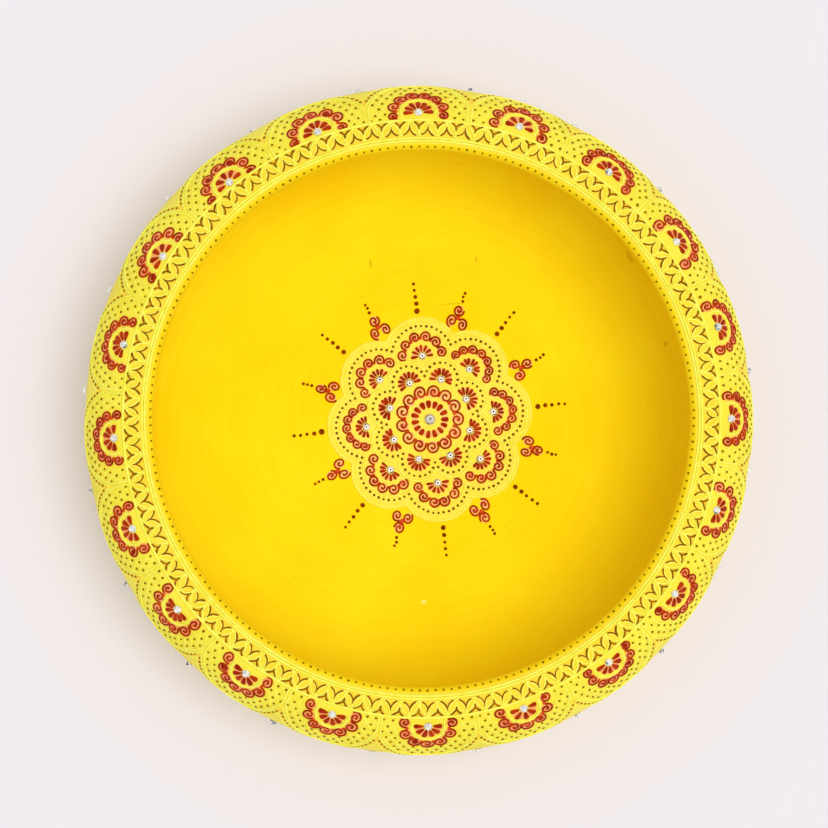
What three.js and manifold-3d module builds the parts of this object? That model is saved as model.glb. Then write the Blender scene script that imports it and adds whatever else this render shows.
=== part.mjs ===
// A painted urli: a wide, shallow bowl of fired clay with a round shoulder turned in to its mouth, made to hold
// water, petals and floating lamps. Flat-back glass stones are glued on it, and lemon-coloured relief is piped
// on its shoulder and round the mandala on its floor. Millimetres, +Z up, the origin under the middle of the foot.
import * as THREE from "three";
import { mergeVertices } from "three/addons/utils/BufferGeometryUtils.js";
import Module from "manifold-3d";

const wasm = await Module();
wasm.setup();

// Fired clay shell
const girthRadius = 152.5; // widest outside radius, of a 12 inch bowl
const overallHeight = 88; // from the table to the crown of the shoulder
const wall = 6.5;
const shoulderRadius = 29; // outside round of the shoulder, from the girth up to its crown
const lipReach = 0.3; // level run of the lip, inwards from the crown, before its round nose
const baseRadius = 74; // where the flat base turns up into the body, and the floor with it
const footSetback = 2; // from the base radius in to the outside of the foot ring
const footWidth = 8;
const footHeight = 3;

// Flat-back stones: across the girdle, in all, the upright edge, and across the table
const smallStone = { diameter: 3.6, height: 1.7, girdle: 0.4, table: 2 };
const largeStone = { diameter: 5.3, height: 2.3, girdle: 0.5, table: 3.1 };
const glueBed = 0.2; // of glue under a stone, and under an arch or a petal
const ringBed = 0.15; // under the trail and the beads that those run into

// Piped relief: a trail of paste has a flat foot, sloping sides and a narrower top
const trail = { width: 1.1, height: 0.7 };
const ringTrail = { width: 1.6, height: 0.95 };
const stemGap = 0.4; // between the two trails that stand side by side in a stem
const bead = { diameter: 2.4, height: 1 }; // blob of paste where two petals of the mandala meet

// Shoulder pattern: each run is measured along the outside, down from the crown of the shoulder
const archCount = 20;
const ringRun = 10; // the ring line under the leaf band
const flowerStoneRun = 14.7;
const valleyRun = 18.5; // where two arches come together, at the top of the stem that they share
const archTopRun = 39.5;
const sideStoneRun = 45.5; // in the spandrels, on the girth
const archTurn = THREE.MathUtils.degToRad(50); // how far an arch bends from its top to its foot

// The arches were spaced by eye: how far they stray on the whole, once round the bowl and twice round it
const strayOnTheWhole = THREE.MathUtils.degToRad(1.4);
const strayOnce = THREE.MathUtils.degToRad(-2);
const strayTwice = THREE.MathUtils.degToRad(1.3);
const strayTwiceLead = THREE.MathUtils.degToRad(68);

// The flowers and arches slip down the shoulder and up again, once round the bowl and twice round it
const slipOnce = 0.76;
const slipOnceLead = THREE.MathUtils.degToRad(19);
const slipTwice = 1.25;
const slipTwiceLead = THREE.MathUtils.degToRad(-64);

// Mandala on the floor, painted a little to one side by hand: each reach is from its centre
const petalCount = 8;
const mandalaShift = new THREE.Vector2(7.1, 1.5);
const innerStoneReach = 19.9;
const innerStoneTurn = THREE.MathUtils.degToRad(29.5); // bearing of the first stone, from +X
const outerStoneReach = 30.7;
const outerStoneTurn = THREE.MathUtils.degToRad(6.9);
const petalTipReach = 49;
const petalValleyReach = 42.3;
const petalTurn = THREE.MathUtils.degToRad(42);
const mandalaMargin = 1.5; // past the furthest petal, before the bare floor on which things are set down

// Facets
const shellFacets = 80; // round the axis, a whole number to each arch
const stoneFacets = 8;
const archSteps = 12;
const stemSteps = 2;
const petalSteps = 9;

const crownRadius = girthRadius - shoulderRadius;
const girthHeight = overallHeight - shoulderRadius;
const floorHeight = footHeight + wall;
const archPitch = (2 * Math.PI) / archCount;
const petalPitch = (2 * Math.PI) / petalCount;

const clay = { color: 0xffcf12, roughness: 0.5, metalness: 0 };
const lemonPaste = { color: 0xfff04a, roughness: 0.45, metalness: 0 };
const foiledGlass = { color: 0xdfe5ec, roughness: 0.08, metalness: 0.35 };

// One face of the shell, in profile, set in from the outside face: the round shoulder from its crown down to the
// girth, then the body from the girth down to the edge of the base.
function shellFace(inset) {
  const shoulder = shoulderRadius - inset;
  const bodyReach = girthRadius - baseRadius - inset;
  const bodyDrop = girthHeight - footHeight - inset;
  return {
    shoulder: new THREE.EllipseCurve(crownRadius, girthHeight, shoulder, shoulder, Math.PI / 2, 0, true),
    body: new THREE.EllipseCurve(baseRadius, girthHeight, bodyReach, bodyDrop, 0, -Math.PI / 2, true),
  };
}

const outside = shellFace(0);
const inside = shellFace(wall);

// The outside face as one path, whose length along it is the run that the shoulder pattern is laid out in.
const outsidePath = new THREE.CurvePath();
outsidePath.add(outside.shoulder);
outsidePath.add(outside.body);

// A place on the outside face, its outward normal, and the way down the face there.
function onShell(bearing, run) {
  const share = run / outsidePath.getLength();
  const place = outsidePath.getPoint(share);
  const slope = outsidePath.getTangent(share);
  const outward = new THREE.Vector3(Math.cos(bearing), Math.sin(bearing), 0);
  const turned = (across, rise) => outward.clone().multiplyScalar(across).setZ(rise);
  return {
    point: turned(place.x, place.y),
    normal: turned(-slope.y, slope.x),
    down: turned(slope.x, slope.y),
  };
}

// How far the pattern slips at a place: not at the ring line, in full from the flowers to the tops of the arches,
// and not on the girth.
function slipAt(bearing, run) {
  const { smoothstep } = THREE.MathUtils;
  const share = smoothstep(run, ringRun, flowerStoneRun) - smoothstep(run, archTopRun, sideStoneRun);
  const once = slipOnce * Math.cos(bearing + slipOnceLead);
  const twice = slipTwice * Math.cos(2 * bearing + slipTwiceLead);
  return share * (once + twice);
}

// A place in the shoulder pattern: an even bearing and run go to where the painter's hand put them.
function onShoulder(bearing, run) {
  const once = strayOnce * Math.cos(bearing);
  const twice = strayTwice * Math.cos(2 * bearing + strayTwiceLead);
  const put = bearing + strayOnTheWhole + once + twice;
  return onShell(put, run + slipAt(put, run));
}

// A place on the level floor, in bearing and reach from the centre of the mandala.
function onFloor(bearing, reach) {
  return {
    point: new THREE.Vector3(
      mandalaShift.x + reach * Math.cos(bearing),
      mandalaShift.y + reach * Math.sin(bearing),
      floorHeight,
    ),
    normal: new THREE.Vector3(0, 0, 1),
  };
}

// The profile turned about the +Z axis.
function turn(profile, facets) {
  return new THREE.LatheGeometry(profile, facets).rotateX(Math.PI / 2);
}

// Lists of points end to end, without the points that two of them share.
function endToEnd(...lists) {
  return lists.flat().filter((point, i, all) => i === 0 || point.distanceTo(all[i - 1]) > 1e-6);
}

function makeShell() {
  const footOutside = baseRadius - footSetback;
  const footInside = footOutside - footWidth;
  const foot = [
    new THREE.Vector2(0, footHeight),
    new THREE.Vector2(footInside, footHeight),
    new THREE.Vector2(footInside, 0),
    new THREE.Vector2(footOutside, 0),
    new THREE.Vector2(footOutside, footHeight),
  ];
  const nose = new THREE.EllipseCurve(
    crownRadius - lipReach,
    overallHeight - wall / 2,
    wall / 2,
    wall / 2,
    Math.PI / 2,
    1.5 * Math.PI,
  );
  return turn(
    endToEnd(
      foot,
      outside.body.getPoints(7).reverse(),
      outside.shoulder.getPoints(8).reverse(),
      nose.getPoints(4),
      inside.shoulder.getPoints(4),
      inside.body.getPoints(5),
      [new THREE.Vector2(mandalaShift.length() + petalTipReach + mandalaMargin, floorHeight)],
      [new THREE.Vector2(0, floorHeight)],
    ),
    shellFacets,
  );
}

// A flat-back stone on its back: girdle, sloping crown facets and table.
function makeStone({ diameter, height, girdle, table }) {
  const profile = [
    new THREE.Vector2(0, 0),
    new THREE.Vector2(diameter / 2, 0),
    new THREE.Vector2(diameter / 2, girdle),
    new THREE.Vector2(table / 2, height),
    new THREE.Vector2(0, height),
  ];
  return turn(profile, stoneFacets);
}

// A trail's section on its bed: x stands up from the surface and y lies across it.
function sectionOf({ width, height }, bed) {
  return [
    new THREE.Vector2(bed, -width / 2),
    new THREE.Vector2(bed, width / 2),
    new THREE.Vector2(bed + height, width / 4),
    new THREE.Vector2(bed + height, -width / 4),
  ];
}

// A route drawn on a surface. Its frames stand on the surface, so that a section swept along it never rolls over.
class SurfaceRoute extends THREE.Curve {
  constructor(seatAt) {
    super();
    this.seatAt = seatAt;
  }

  getPoint(t) {
    return this.seatAt(t).point;
  }

  computeFrenetFrames(segments) {
    const frames = { tangents: [], normals: [], binormals: [] };
    for (let i = 0; i <= segments; i++) {
      const tangent = this.getTangentAt(i / segments);
      const normal = this.seatAt(this.getUtoTmapping(i / segments)).normal;
      const binormal = new THREE.Vector3().crossVectors(tangent, normal).normalize();
      frames.tangents.push(tangent);
      frames.normals.push(normal);
      frames.binormals.push(binormal);
    }
    return frames;
  }
}

function pipeAlong(seatAt, steps) {
  const shape = new THREE.Shape(sectionOf(trail, glueBed));
  return new THREE.ExtrudeGeometry(shape, { steps, extrudePath: new SurfaceRoute(seatAt) });
}

// A trail right round the shell at one run.
function pipeRing(run) {
  const { point, normal, down } = onShell(0, run);
  const section = sectionOf(ringTrail, ringBed).map(({ x, y }) => {
    const place = point.clone().addScaledVector(normal, x).addScaledVector(down, y);
    return new THREE.Vector2(place.x, place.z);
  });
  return turn([...section, section[0]], shellFacets);
}

// A bow from one foot over its top to the other, as t goes from 0 to 1: how far round it is, as a share of its half
// width, and how far up, from 0 at the feet to 1 at the top.
function bow(t, bend) {
  const swing = (2 * t - 1) * bend;
  return {
    round: Math.sin(swing) / Math.sin(bend),
    up: (Math.cos(swing) - Math.cos(bend)) / (1 - Math.cos(bend)),
  };
}

// One arch with its own side of the stem at each foot: up from the ring line, over its top and down again. The two
// trails in a stem stand clear of each other.
function pipeArch(bearing) {
  const halfWidth = archPitch / 2 - (trail.width + stemGap) / 2 / crownRadius;
  const stemShare = stemSteps / (archSteps + 2 * stemSteps);
  const seatAt = (t) => {
    const fromFoot = Math.min(t, 1 - t) / stemShare;
    if (fromFoot < 1) {
      const side = Math.sign(t - 0.5);
      return onShoulder(bearing + side * halfWidth, THREE.MathUtils.lerp(ringRun, valleyRun, fromFoot));
    }
    const { round, up } = bow((t - stemShare) / (1 - 2 * stemShare), archTurn);
    return onShoulder(bearing + round * halfWidth, THREE.MathUtils.lerp(valleyRun, archTopRun, up));
  };
  return pipeAlong(seatAt, archSteps + 2 * stemSteps);
}

function pipePetal(bearing) {
  const seatAt = (t) => {
    const { round, up } = bow(t, petalTurn);
    const reach = THREE.MathUtils.lerp(petalValleyReach, petalTipReach, up);
    return onFloor(bearing + (round * petalPitch) / 2, reach);
  };
  return pipeAlong(seatAt, petalSteps);
}

// The blob in a valley of the mandala's outline, which the petals on both sides of it run into.
function pipeBead({ point }) {
  const profile = [
    new THREE.Vector2(0, 0),
    new THREE.Vector2(bead.diameter / 2, 0),
    new THREE.Vector2(0.4 * bead.diameter, 0.8 * bead.height),
    new THREE.Vector2(0, bead.height),
  ];
  return turn(profile, stoneFacets).translate(point.x, point.y, point.z + ringBed);
}

// Trails that run into each other, as one solid.
function fuse(trails) {
  const solids = trails.map((trail) => {
    trail.deleteAttribute("normal");
    trail.deleteAttribute("uv");
    const { attributes, index } = mergeVertices(trail, 1e-4);
    const vertProperties = new Float32Array(attributes.position.array);
    return new wasm.Manifold(new wasm.Mesh({ numProp: 3, vertProperties, triVerts: new Uint32Array(index.array) }));
  });
  const mesh = solids.reduce((all, solid) => all.add(solid)).getMesh();
  const fused = new THREE.BufferGeometry();
  fused.setAttribute("position", new THREE.BufferAttribute(mesh.vertProperties, 3));
  fused.setIndex(new THREE.BufferAttribute(mesh.triVerts, 1));
  fused.computeVertexNormals();
  return fused;
}

const bowl = new THREE.Group();

function addPiece(name, geometry, finish) {
  const mesh = new THREE.Mesh(geometry, new THREE.MeshStandardMaterial(finish));
  mesh.name = name;
  bowl.add(mesh);
  return mesh;
}

// A stone stands on its bed of glue, with its back square to the surface.
function addStone(name, cut, { point, normal }) {
  const stone = addPiece(name, makeStone(cut), foiledGlass);
  stone.position.copy(point).addScaledVector(normal, glueBed);
  stone.quaternion.setFromUnitVectors(new THREE.Vector3(0, 0, 1), normal);
}

// One stone for each bearing round a circle, numbered from 01.
function addStones(name, count, seatOf) {
  for (let i = 0; i < count; i++) addStone(`${name}_${String(i + 1).padStart(2, "0")}`, smallStone, seatOf(i));
}

addPiece("bowl_shell", makeShell(), clay);

const shoulderTrails = [pipeRing(ringRun)];
for (let i = 0; i < archCount; i++) {
  shoulderTrails.push(pipeArch(i * archPitch));
}
addPiece("shoulder_piping", fuse(shoulderTrails), lemonPaste);

const mandalaTrails = [];
for (let i = 0; i < petalCount; i++) {
  mandalaTrails.push(pipePetal(outerStoneTurn + i * petalPitch));
  mandalaTrails.push(pipeBead(onFloor(outerStoneTurn + (i + 0.5) * petalPitch, petalValleyReach)));
}
addPiece("mandala_piping", fuse(mandalaTrails), lemonPaste);

addStone("centre_stone", largeStone, onFloor(0, 0));
addStones("inner_stone", petalCount, (i) => onFloor(innerStoneTurn + i * petalPitch, innerStoneReach));
addStones("outer_stone", petalCount, (i) => onFloor(outerStoneTurn + i * petalPitch, outerStoneReach));
addStones("flower_stone", archCount, (i) => onShoulder(i * archPitch, flowerStoneRun));
addStones("side_stone", archCount, (i) => onShoulder((i + 0.5) * archPitch, sideStoneRun));

export default bowl;
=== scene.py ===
import math
import random
from collections import defaultdict

import bpy
import numpy as np
from mathutils import Matrix, Vector


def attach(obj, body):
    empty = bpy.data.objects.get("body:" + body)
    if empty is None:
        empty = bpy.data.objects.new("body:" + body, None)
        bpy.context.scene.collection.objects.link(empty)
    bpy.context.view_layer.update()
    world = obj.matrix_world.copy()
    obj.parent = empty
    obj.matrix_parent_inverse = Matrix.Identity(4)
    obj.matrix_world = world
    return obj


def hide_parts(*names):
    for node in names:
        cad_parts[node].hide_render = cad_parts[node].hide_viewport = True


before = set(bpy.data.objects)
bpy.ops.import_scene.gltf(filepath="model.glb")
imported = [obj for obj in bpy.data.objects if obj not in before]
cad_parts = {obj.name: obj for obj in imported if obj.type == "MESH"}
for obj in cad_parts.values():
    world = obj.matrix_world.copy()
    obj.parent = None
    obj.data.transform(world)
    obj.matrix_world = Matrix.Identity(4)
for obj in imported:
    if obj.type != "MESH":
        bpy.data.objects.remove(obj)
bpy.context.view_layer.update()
mm = 0.001
hand = random.Random(20)  # the unevenness of handwork
print("frame loaded:", len(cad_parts), "nodes")


def wander(amount):
    return hand.uniform(-amount, amount)


# Handling pieces

def clearSelection():
    bpy.ops.object.select_all(action="DESELECT")


def workOn(piece):
    clearSelection()
    piece.select_set(True)
    bpy.context.view_layer.objects.active = piece


def selectMesh():
    bpy.ops.mesh.select_all(action="SELECT")


def openMesh(piece):
    # edit mode, with all of the piece selected
    workOn(piece)
    bpy.ops.object.mode_set(mode="EDIT")
    selectMesh()


def closeMesh():
    bpy.ops.object.mode_set(mode="OBJECT")


def linkPiece(name, data):
    piece = bpy.data.objects.new(name, data)
    bpy.context.scene.collection.objects.link(piece)
    return piece


def faceOut(piece, smoothAngle):
    # faces turned outwards, and soft shading where they meet at less than the angle
    openMesh(piece)
    bpy.ops.mesh.normals_make_consistent(inside=False)
    closeMesh()
    bpy.ops.object.shade_smooth_by_angle(angle=math.radians(smoothAngle))


def finishPiece(piece, finishes, slot, *nodes):
    # its paints or pastes, the body it rides on and the nodes that it stands for, which it hides; the slot is
    # not used
    for finish in finishes:
        piece.data.materials.append(bpy.data.materials[finish])
    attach(piece, "root")
    if nodes:
        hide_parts(*nodes)


# Nodes of the materials

def setInputs(tree, node, values):
    # each input takes a fixed value or another node's output
    for title, value in values.items():
        if isinstance(value, bpy.types.NodeSocket):
            tree.links.new(value, node.inputs[title])
        else:
            node.inputs[title].default_value = value


def addNode(tree, kind, values=None):
    node = tree.nodes.new("ShaderNode" + kind)
    setInputs(tree, node, values or {})
    return node


def addMath(tree, operation, *values):
    node = addNode(tree, "Math", dict(enumerate(values)))
    node.operation = operation
    return node.outputs[0]


def plus(tree, first, second):
    return addMath(tree, "ADD", first, second)


def times(tree, first, second):
    return addMath(tree, "MULTIPLY", first, second)


def addRange(tree, value, low, high, toLow=0, toHigh=1):
    node = addNode(tree, "MapRange", {
        "Value": value, "From Min": low, "From Max": high, "To Min": toLow, "To Max": toHigh,
    })
    node.interpolation_type = "SMOOTHSTEP"
    return node.outputs["Result"]


def addNoise(tree, vector, scale, detail, roughness, fourth=None):
    values = {"Vector": vector, "Scale": scale, "Detail": detail, "Roughness": roughness}
    node = addNode(tree, "TexNoise", values)
    if fourth is not None:
        node.noise_dimensions = "4D"
        setInputs(tree, node, {"W": fourth})
    return node.outputs["Fac"]


def addCells(tree, vector, scale):
    return addNode(tree, "TexVoronoi", {"Vector": vector, "Scale": scale}).outputs["Distance"]


def mixColour(tree, share, first, second):
    node = addNode(tree, "Mix")
    node.data_type = "RGBA"
    enabled = [place for place, socket in enumerate(node.inputs) if socket.enabled]
    setInputs(tree, node, dict(zip(enabled, (share, first, second))))
    return next(socket for socket in node.outputs if socket.enabled)


def fromHex(text):
    # a colour as it is seen, turned into the linear values that a shader takes
    seen = [int(text[i:i + 2], 16) / 255 for i in (0, 2, 4)]
    return tuple(c / 12.92 if c <= 0.04045 else ((c + 0.055) / 1.055) ** 2.4 for c in seen) + (1,)


# The camera stands almost straight over the bowl

camera = {"place": (-52, -31, 1089), "aim": (-2.9, 2.45, 59), "lens": 97.9, "sensor": 36, "clip": 10}


def addCamera():
    place = Vector(camera["place"]) * mm
    ahead = (Vector(camera["aim"]) * mm - place).normalized()
    right = ahead.cross(Vector((0, 1, 0))).normalized()
    up = right.cross(ahead)
    lens = bpy.data.cameras.new("camera")
    lens.lens = camera["lens"]
    lens.sensor_width = camera["sensor"]
    lens.clip_start = camera["clip"] * mm
    standing = linkPiece("camera", lens)
    standing.matrix_world = Matrix.Translation(place) @ Matrix((right, up, -ahead)).transposed().to_4x4()
    bpy.context.scene.camera = standing


# Soft light from the right, nearly overhead, in a pale room

light = {
    "bearing": -12,
    "elevation": 78,
    "spread": 36,
    "strength": 1.4,
    "room": 0.66,
    "roomTint": (1, 0.98, 0.97, 1),
    "backdrop": "e9e5ec",
}


def addLight():
    lamp = bpy.data.lights.new("window", "SUN")
    lamp.energy = light["strength"]
    lamp.angle = math.radians(light["spread"])
    shining = linkPiece("window", lamp)
    shining.rotation_euler = (0, math.radians(90 - light["elevation"]), math.radians(light["bearing"]))
    room = bpy.data.worlds.new("room")
    bpy.context.scene.world = room
    room.use_nodes = True
    tree = room.node_tree
    tree.nodes.clear()
    around = addNode(tree, "Background", {"Color": light["roomTint"], "Strength": light["room"]})
    seen = addNode(tree, "Background", {"Color": fromHex(light["backdrop"]), "Strength": 1})
    rays = addNode(tree, "LightPath").outputs
    seenBy = addMath(tree, "MAXIMUM", rays["Is Camera Ray"], rays["Is Glossy Ray"])
    seenBy = addMath(tree, "MAXIMUM", seenBy, rays["Is Transmission Ray"])
    mix = addNode(tree, "MixShader", {"Fac": seenBy, 1: around.outputs[0], 2: seen.outputs[0]})
    addNode(tree, "OutputWorld", {"Surface": mix.outputs[0]})


# The outline of the shell, and places on it

bowl = {
    "girthRadius": 152.5,
    "height": 88,
    "wall": 6.5,
    "shoulderRadius": 29,
    "lipReach": 0.3,  # level part of the lip, in from the crown, before its round nose
    "baseRadius": 74,
    "footSetback": 2,
    "footWidth": 8,
    "footHeight": 3,
    "footRound": 0.9,
    "roundSteps": 288,
}
crown = bowl["girthRadius"] - bowl["shoulderRadius"]
girthHeight = bowl["height"] - bowl["shoulderRadius"]
floorHeight = bowl["footHeight"] + bowl["wall"]


def arc(centre, across, up, first, last, steps):
    turn = np.radians(np.linspace(first, last, steps + 1))
    return np.column_stack([centre[0] + across * np.cos(turn), centre[1] + up * np.sin(turn)])


def noseOutline(steps):
    nose = bowl["wall"] / 2
    return arc((crown - bowl["lipReach"], bowl["height"] - nose), nose, nose, 270, 90, steps)


def faceOutline(inset, shoulderSteps, bodySteps):
    # the shoulder from its crown down to the girth, then the body down to the edge of the base
    roundness = bowl["shoulderRadius"] - inset
    reach = bowl["girthRadius"] - bowl["baseRadius"] - inset
    drop = girthHeight - bowl["footHeight"] - inset
    shoulder = arc((crown, girthHeight), roundness, roundness, 90, 0, shoulderSteps)
    body = arc((bowl["baseRadius"], girthHeight), reach, drop, 0, -90, bodySteps)
    return np.vstack([shoulder, body[1:]])


def lengthsAlong(x, y):
    return np.concatenate([[0], np.cumsum(np.hypot(np.diff(x), np.diff(y)))])


def measureFace():
    # the outside face by its run, the millimetres along it: down from the crown, and over the nose below 0
    nose = noseOutline(40)
    reach, up = np.vstack([nose, faceOutline(0, 120, 120)]).T
    run = lengthsAlong(reach, up)
    run -= run[len(nose)]
    slope = np.gradient(np.column_stack([reach, up]), run, axis=0)
    slope /= np.linalg.norm(slope, axis=1)[:, None]
    return {"run": run, "reach": reach, "up": up, "outward": -slope[:, 1], "rise": slope[:, 0]}


face = measureFace()


def readFace(what, run):
    return np.interp(run, face["run"], face[what])


def onFace(bearing, run, height):
    # bearings in degrees; millimetres along the face and above it
    reach = readFace("reach", run) + readFace("outward", run) * height
    up = readFace("up", run) + readFace("rise", run) * height
    turn = np.radians(bearing)
    return np.column_stack([reach * np.cos(turn), reach * np.sin(turn), up])


# The arches were spaced by eye: how far they stray in all, once round the bowl and twice round it
stray = {"inAll": 1.4, "once": -2, "onceLead": 0, "twice": 1.3, "twiceLead": 68}
# How far flowers and arches slip down the shoulder: not at all up to the first run, in full from the second
# to the third, and not at all past the last
slip = {"once": 0.76, "onceLead": 19, "twice": 1.25, "twiceLead": -64, "runs": (10, 14.7, 39.5, 45.5)}


def drift(bearing, ways):
    turn = np.radians(bearing)
    once = ways["once"] * np.cos(turn + math.radians(ways["onceLead"]))
    return once + ways["twice"] * np.cos(2 * turn + math.radians(ways["twiceLead"]))


def softStep(value, low, high):
    share = np.clip((value - low) / (high - low), 0, 1)
    return share * share * (3 - 2 * share)


def onShoulder(bearing, run, height):
    put, run = np.asarray(bearing, float), np.asarray(run, float)
    put = put + stray["inAll"] + drift(put, stray)
    share = softStep(run, *slip["runs"][:2]) - softStep(run, *slip["runs"][2:])
    return onFace(put, run + share * drift(put, slip), height)


mandalaMiddle = (7.1, 1.5)  # painted a little to one side


def onFloor(x, y, height):
    # x and y from the middle of the mandala; past the level floor the place climbs the inside of the body
    x = np.asarray(x, float) + mandalaMiddle[0]
    y = np.asarray(y, float) + mandalaMiddle[1]
    out = np.clip(np.hypot(x, y) - bowl["baseRadius"], 0, None)
    reach = bowl["girthRadius"] - bowl["baseRadius"] - bowl["wall"]
    up = girthHeight - (girthHeight - floorHeight) * np.sqrt(1 - (out / reach) ** 2)
    return np.column_stack([x, y, up + height])


def shoulderPatch(bearing, run, lay=onShoulder):
    # a flat patch bent on to the shoulder: x clockwise round the bowl, y down the shoulder, z out of it
    reach = readFace("reach", run)

    def place(x, y, z):
        return lay(bearing - np.degrees(np.asarray(x) / reach), run + np.asarray(y), z)
    return place


def archPatch(bearing):
    # the same by degrees clockwise from a bearing and by run
    def place(offset, run, height):
        return onShoulder(bearing - np.asarray(offset), run, height)
    return place


def floorPatch(bearing, reach):
    # a patch on the floor, with y away from the middle of the mandala
    c, s = math.cos(math.radians(bearing)), math.sin(math.radians(bearing))

    def place(x, y, z):
        x, away = np.asarray(x), reach + np.asarray(y)
        return onFloor(away * c + x * s, away * s - x * c, z)
    return place


# Effects that several paints share

def newGroup(name, settings, masks):
    # a group takes a vector and some numbers, and gives masks that change over the surface
    group = bpy.data.node_groups.new(name, "ShaderNodeTree")
    group.interface.new_socket("Vector", in_out="INPUT", socket_type="NodeSocketVector")
    for title, value in settings.items():
        socket = group.interface.new_socket(title, in_out="INPUT", socket_type="NodeSocketFloat")
        socket.default_value = value
    for title in masks:
        group.interface.new_socket(title, in_out="OUTPUT", socket_type="NodeSocketFloat")
    into = group.nodes.new("NodeGroupInput").outputs
    out = group.nodes.new("NodeGroupOutput")
    return group, into, out


def makeBrushGroup():
    # paint laid on as the bowl turned: streaks that run round it, cloudy coverage and a fine tooth
    group, into, out = newGroup("brushedPaint", {"Streaks": 700, "Clouds": 22}, ("Streak", "Cloud", "Relief"))
    x, y, z = addNode(group, "SeparateXYZ", {0: into["Vector"]}).outputs
    reach = addMath(group, "SQRT", plus(group, times(group, x, x), times(group, y, y)))
    away = addMath(group, "MAXIMUM", reach, 4 * mm)  # never nought, because it divides
    aroundX, aroundY = (times(group, addMath(group, "DIVIDE", part, away), 2.5) for part in (x, y))
    laid = addNode(group, "CombineXYZ", {
        0: times(group, reach, into["Streaks"]), 1: times(group, z, into["Streaks"]), 2: aroundX,
    })
    streak = addNoise(group, laid.outputs[0], scale=1, detail=4, roughness=0.6, fourth=aroundY)
    cloud = addNoise(group, into["Vector"], into["Clouds"], detail=4, roughness=0.55)
    tooth = addNoise(group, into["Vector"], scale=1400, detail=2, roughness=0.5)
    relief = plus(group, times(group, streak, 0.6), times(group, tooth, 0.4))
    setInputs(group, out, {"Streak": streak, "Cloud": cloud, "Relief": relief})
    return group


def makePasteGroup():
    # dried paste: slow changes of tone, a slightly wrinkled skin and a few pinholes
    group, into, out = newGroup("driedPaste", {"Skin": 900}, ("Tone", "Relief", "Pinholes"))
    tone = addNoise(group, into["Vector"], scale=260, detail=3, roughness=0.5)
    skin = addNoise(group, into["Vector"], into["Skin"], detail=2, roughness=0.5)
    holes = addRange(group, addCells(group, into["Vector"], 420), 0.03, 0.09, 1, 0)
    relief = addMath(group, "SUBTRACT", skin, times(group, holes, 0.6))
    setInputs(group, out, {"Tone": addRange(group, tone, 0.3, 0.7), "Relief": relief, "Pinholes": holes})
    return group


def makeNickGroup():
    # one small fault in the paint: the vector comes in with the fault at its middle, one unit across
    group, into, out = newGroup("paintNick", {"Ragged": 0.5}, ["Mask"])
    length = addNode(group, "VectorMath", {0: into["Vector"]})
    length.operation = "LENGTH"
    ragged = addNoise(group, into["Vector"], scale=3, detail=3, roughness=0.6)
    edge = plus(group, length.outputs["Value"], times(group, ragged, into["Ragged"]))
    setInputs(group, out, {"Mask": addRange(group, edge, 0.45, 0.8, 1, 0)})
    return group


effects = {"brush": makeBrushGroup(), "paste": makePasteGroup(), "nick": makeNickGroup()}


def useEffect(tree, effect, vector, settings):
    node = tree.nodes.new("ShaderNodeGroup")
    node.node_tree = effects[effect]
    setInputs(tree, node, {"Vector": vector, **settings})
    return node.outputs


def newMaterial(name, roughness, gloss):
    material = bpy.data.materials.new(name)
    material.use_nodes = True
    tree = material.node_tree
    tree.nodes.clear()
    shader = addNode(tree, "BsdfPrincipled", {"Roughness": roughness, "Specular IOR Level": gloss})
    addNode(tree, "OutputMaterial", {"Surface": shader.outputs[0]})
    return tree, shader, addNode(tree, "TexCoord").outputs["Object"]


def addBump(tree, height, depth):
    return addNode(tree, "Bump", {"Height": height, "Distance": depth * mm}).outputs[0]


# Paint, in two tones that are laid on in streaks and clouds

scuff = "b88a10"
# faults in the paint inside the bowl: place, size, turn about the axis, colour and how strong it is
nicks = [
    {"place": (101.4, 78.5, 26.4), "size": (8.5, 2.4, 9), "turn": -64, "colour": scuff, "share": 0.4},
    {"place": (118.9, 37.3, 23.8), "size": (2.6, 2.6, 3), "turn": 0, "colour": scuff, "share": 0.5},
    {"place": (-21.5, 76.4, 9.6), "size": (1.4, 5, 4), "turn": 12, "colour": scuff, "share": 0.6},
    {"place": (29.4, 78.7, 10), "size": (1.3, 3.8, 4), "turn": 0, "colour": scuff, "share": 0.5},
    {"place": (18.3, 57.2, 9.5), "size": (17, 0.8, 3), "turn": 4, "colour": scuff, "share": 0.4},
    {"place": (4.2, -86, 10.2), "size": (3.2, 2.4, 3), "turn": 20, "colour": "fff47c", "share": 0.9},
]
paints = {
    "goldPaint": {"light": "ffe61a", "deep": "fdd60a", "faults": nicks},
    "lemonGround": {"light": "fbee4e", "deep": "f7de36", "fadeTo": "goldPaint"},
    "mandalaGround": {"light": "ffee5a", "deep": "fce440"},
    # a darker gold on the nose of the lip: painted shade where the lip rolls over into the bowl
    "shadedLipGold": {"light": "fadc1c", "deep": "f5cf10"},
    "leafGround": {"light": "fbe246", "deep": "f7d22e"},
    "orangeGold": {"light": "fddc48", "deep": "f8cc34"},
    "salmonWash": {"light": "f2905e", "deep": "e87048"},
    "blushWash": {"light": "ffb86c", "deep": "f99c50"},
    "peachWash": {"light": "ffcc7c", "deep": "fcb45c"},
}
paintWork = {
    "roughness": 0.5,
    "roughnessRange": (0.44, 0.58),
    "gloss": 0.35,
    "effect": {"Streaks": 700, "Clouds": 22},
    "streakShare": 0.35,
    "cloudShare": 0.5,
    "relief": 0.12,
    "fadeHeights": (49, 41),  # where the shoulder's lemon begins to thin into the gold below, and is gone
    "fadeRagged": 6,
}


def mixTones(tree, share, colours):
    return mixColour(tree, share, fromHex(colours["light"]), fromHex(colours["deep"]))


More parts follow.
